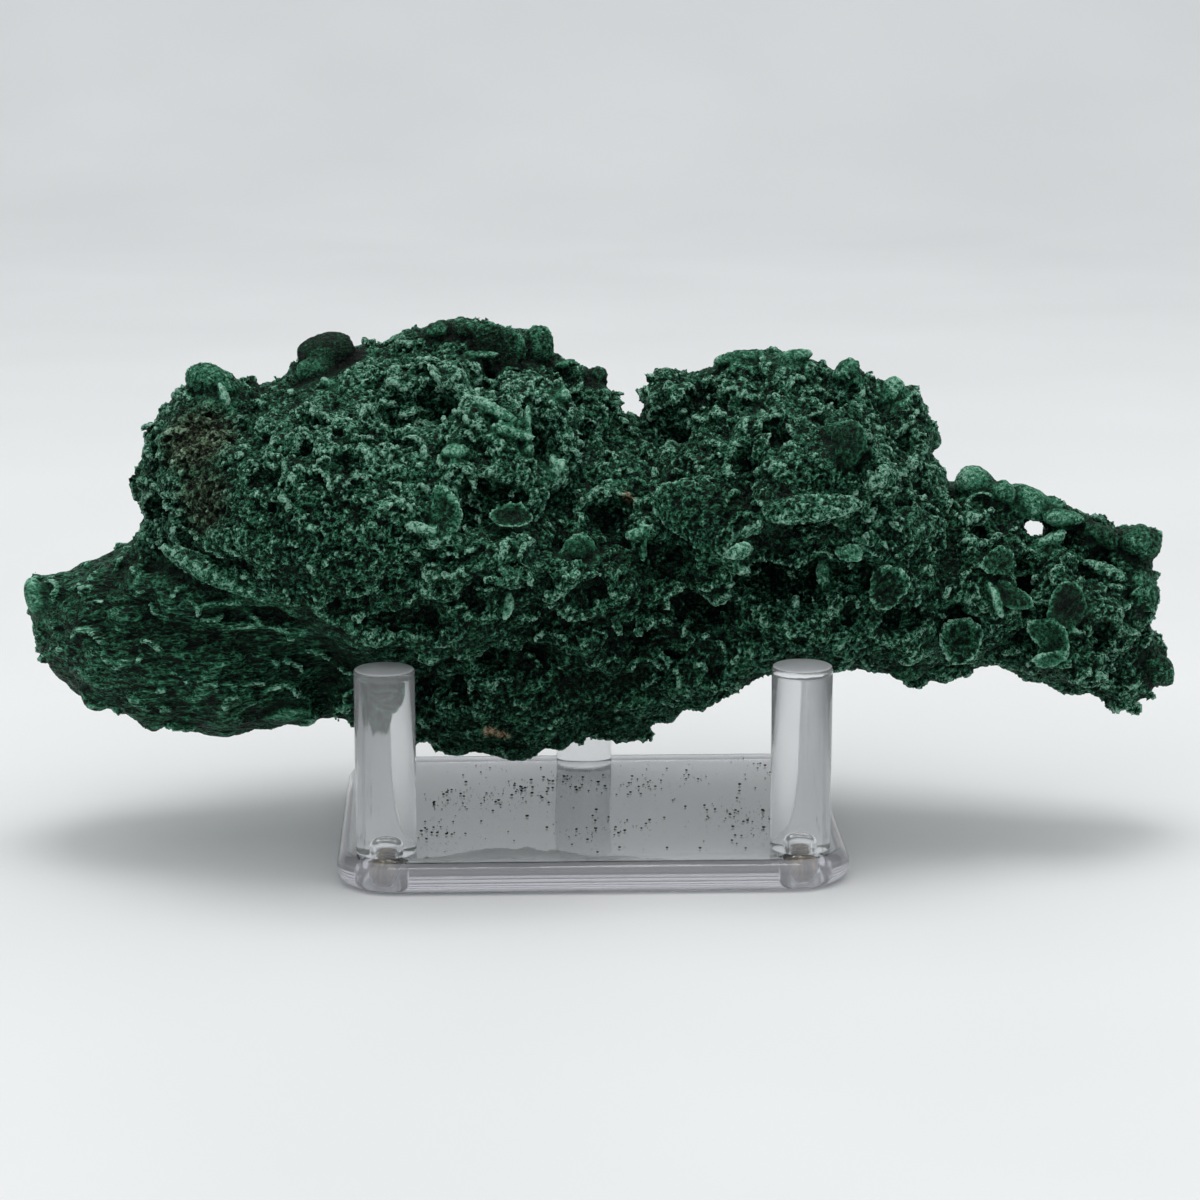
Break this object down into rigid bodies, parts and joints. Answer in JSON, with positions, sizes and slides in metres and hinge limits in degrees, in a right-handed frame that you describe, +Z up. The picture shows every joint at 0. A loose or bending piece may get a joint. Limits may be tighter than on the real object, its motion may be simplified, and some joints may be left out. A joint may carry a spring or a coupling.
{
  "type": "malachite specimen on a clear stand",
  "caption": "Velvety, lumpy malachite rock with a low lobe and a thin tail, resting on a clear acrylic stand of a plate and upright pegs.",
  "frame": {"origin": "middle of the base plate's underside, on the surface that the stand rests on", "axes": "+X along the stone's length, from the low lobe to the thin tail; +Y away from the viewer, towards the back peg; +Z up"},
  "size_m": [0.2344, 0.0911, 0.1078],
  "materials": {
    "malachite": "natural stone, velvety to silky fibrous crust, very dark to mid green with pale teal ridges",
    "acrylic": "clear cast acrylic, polished, with fine turning scratches on the pegs",
    "screw": "dull brass-coloured steel"
  },
  "bodies": {
    "root": {"malachite": "malachite", "base_plate": "acrylic", "peg_front_left": "acrylic", "peg_front_right": "acrylic", "peg_back": "acrylic", "screw_front_left": "screw", "screw_front_right": "screw"}
  },
  "joints": []
}
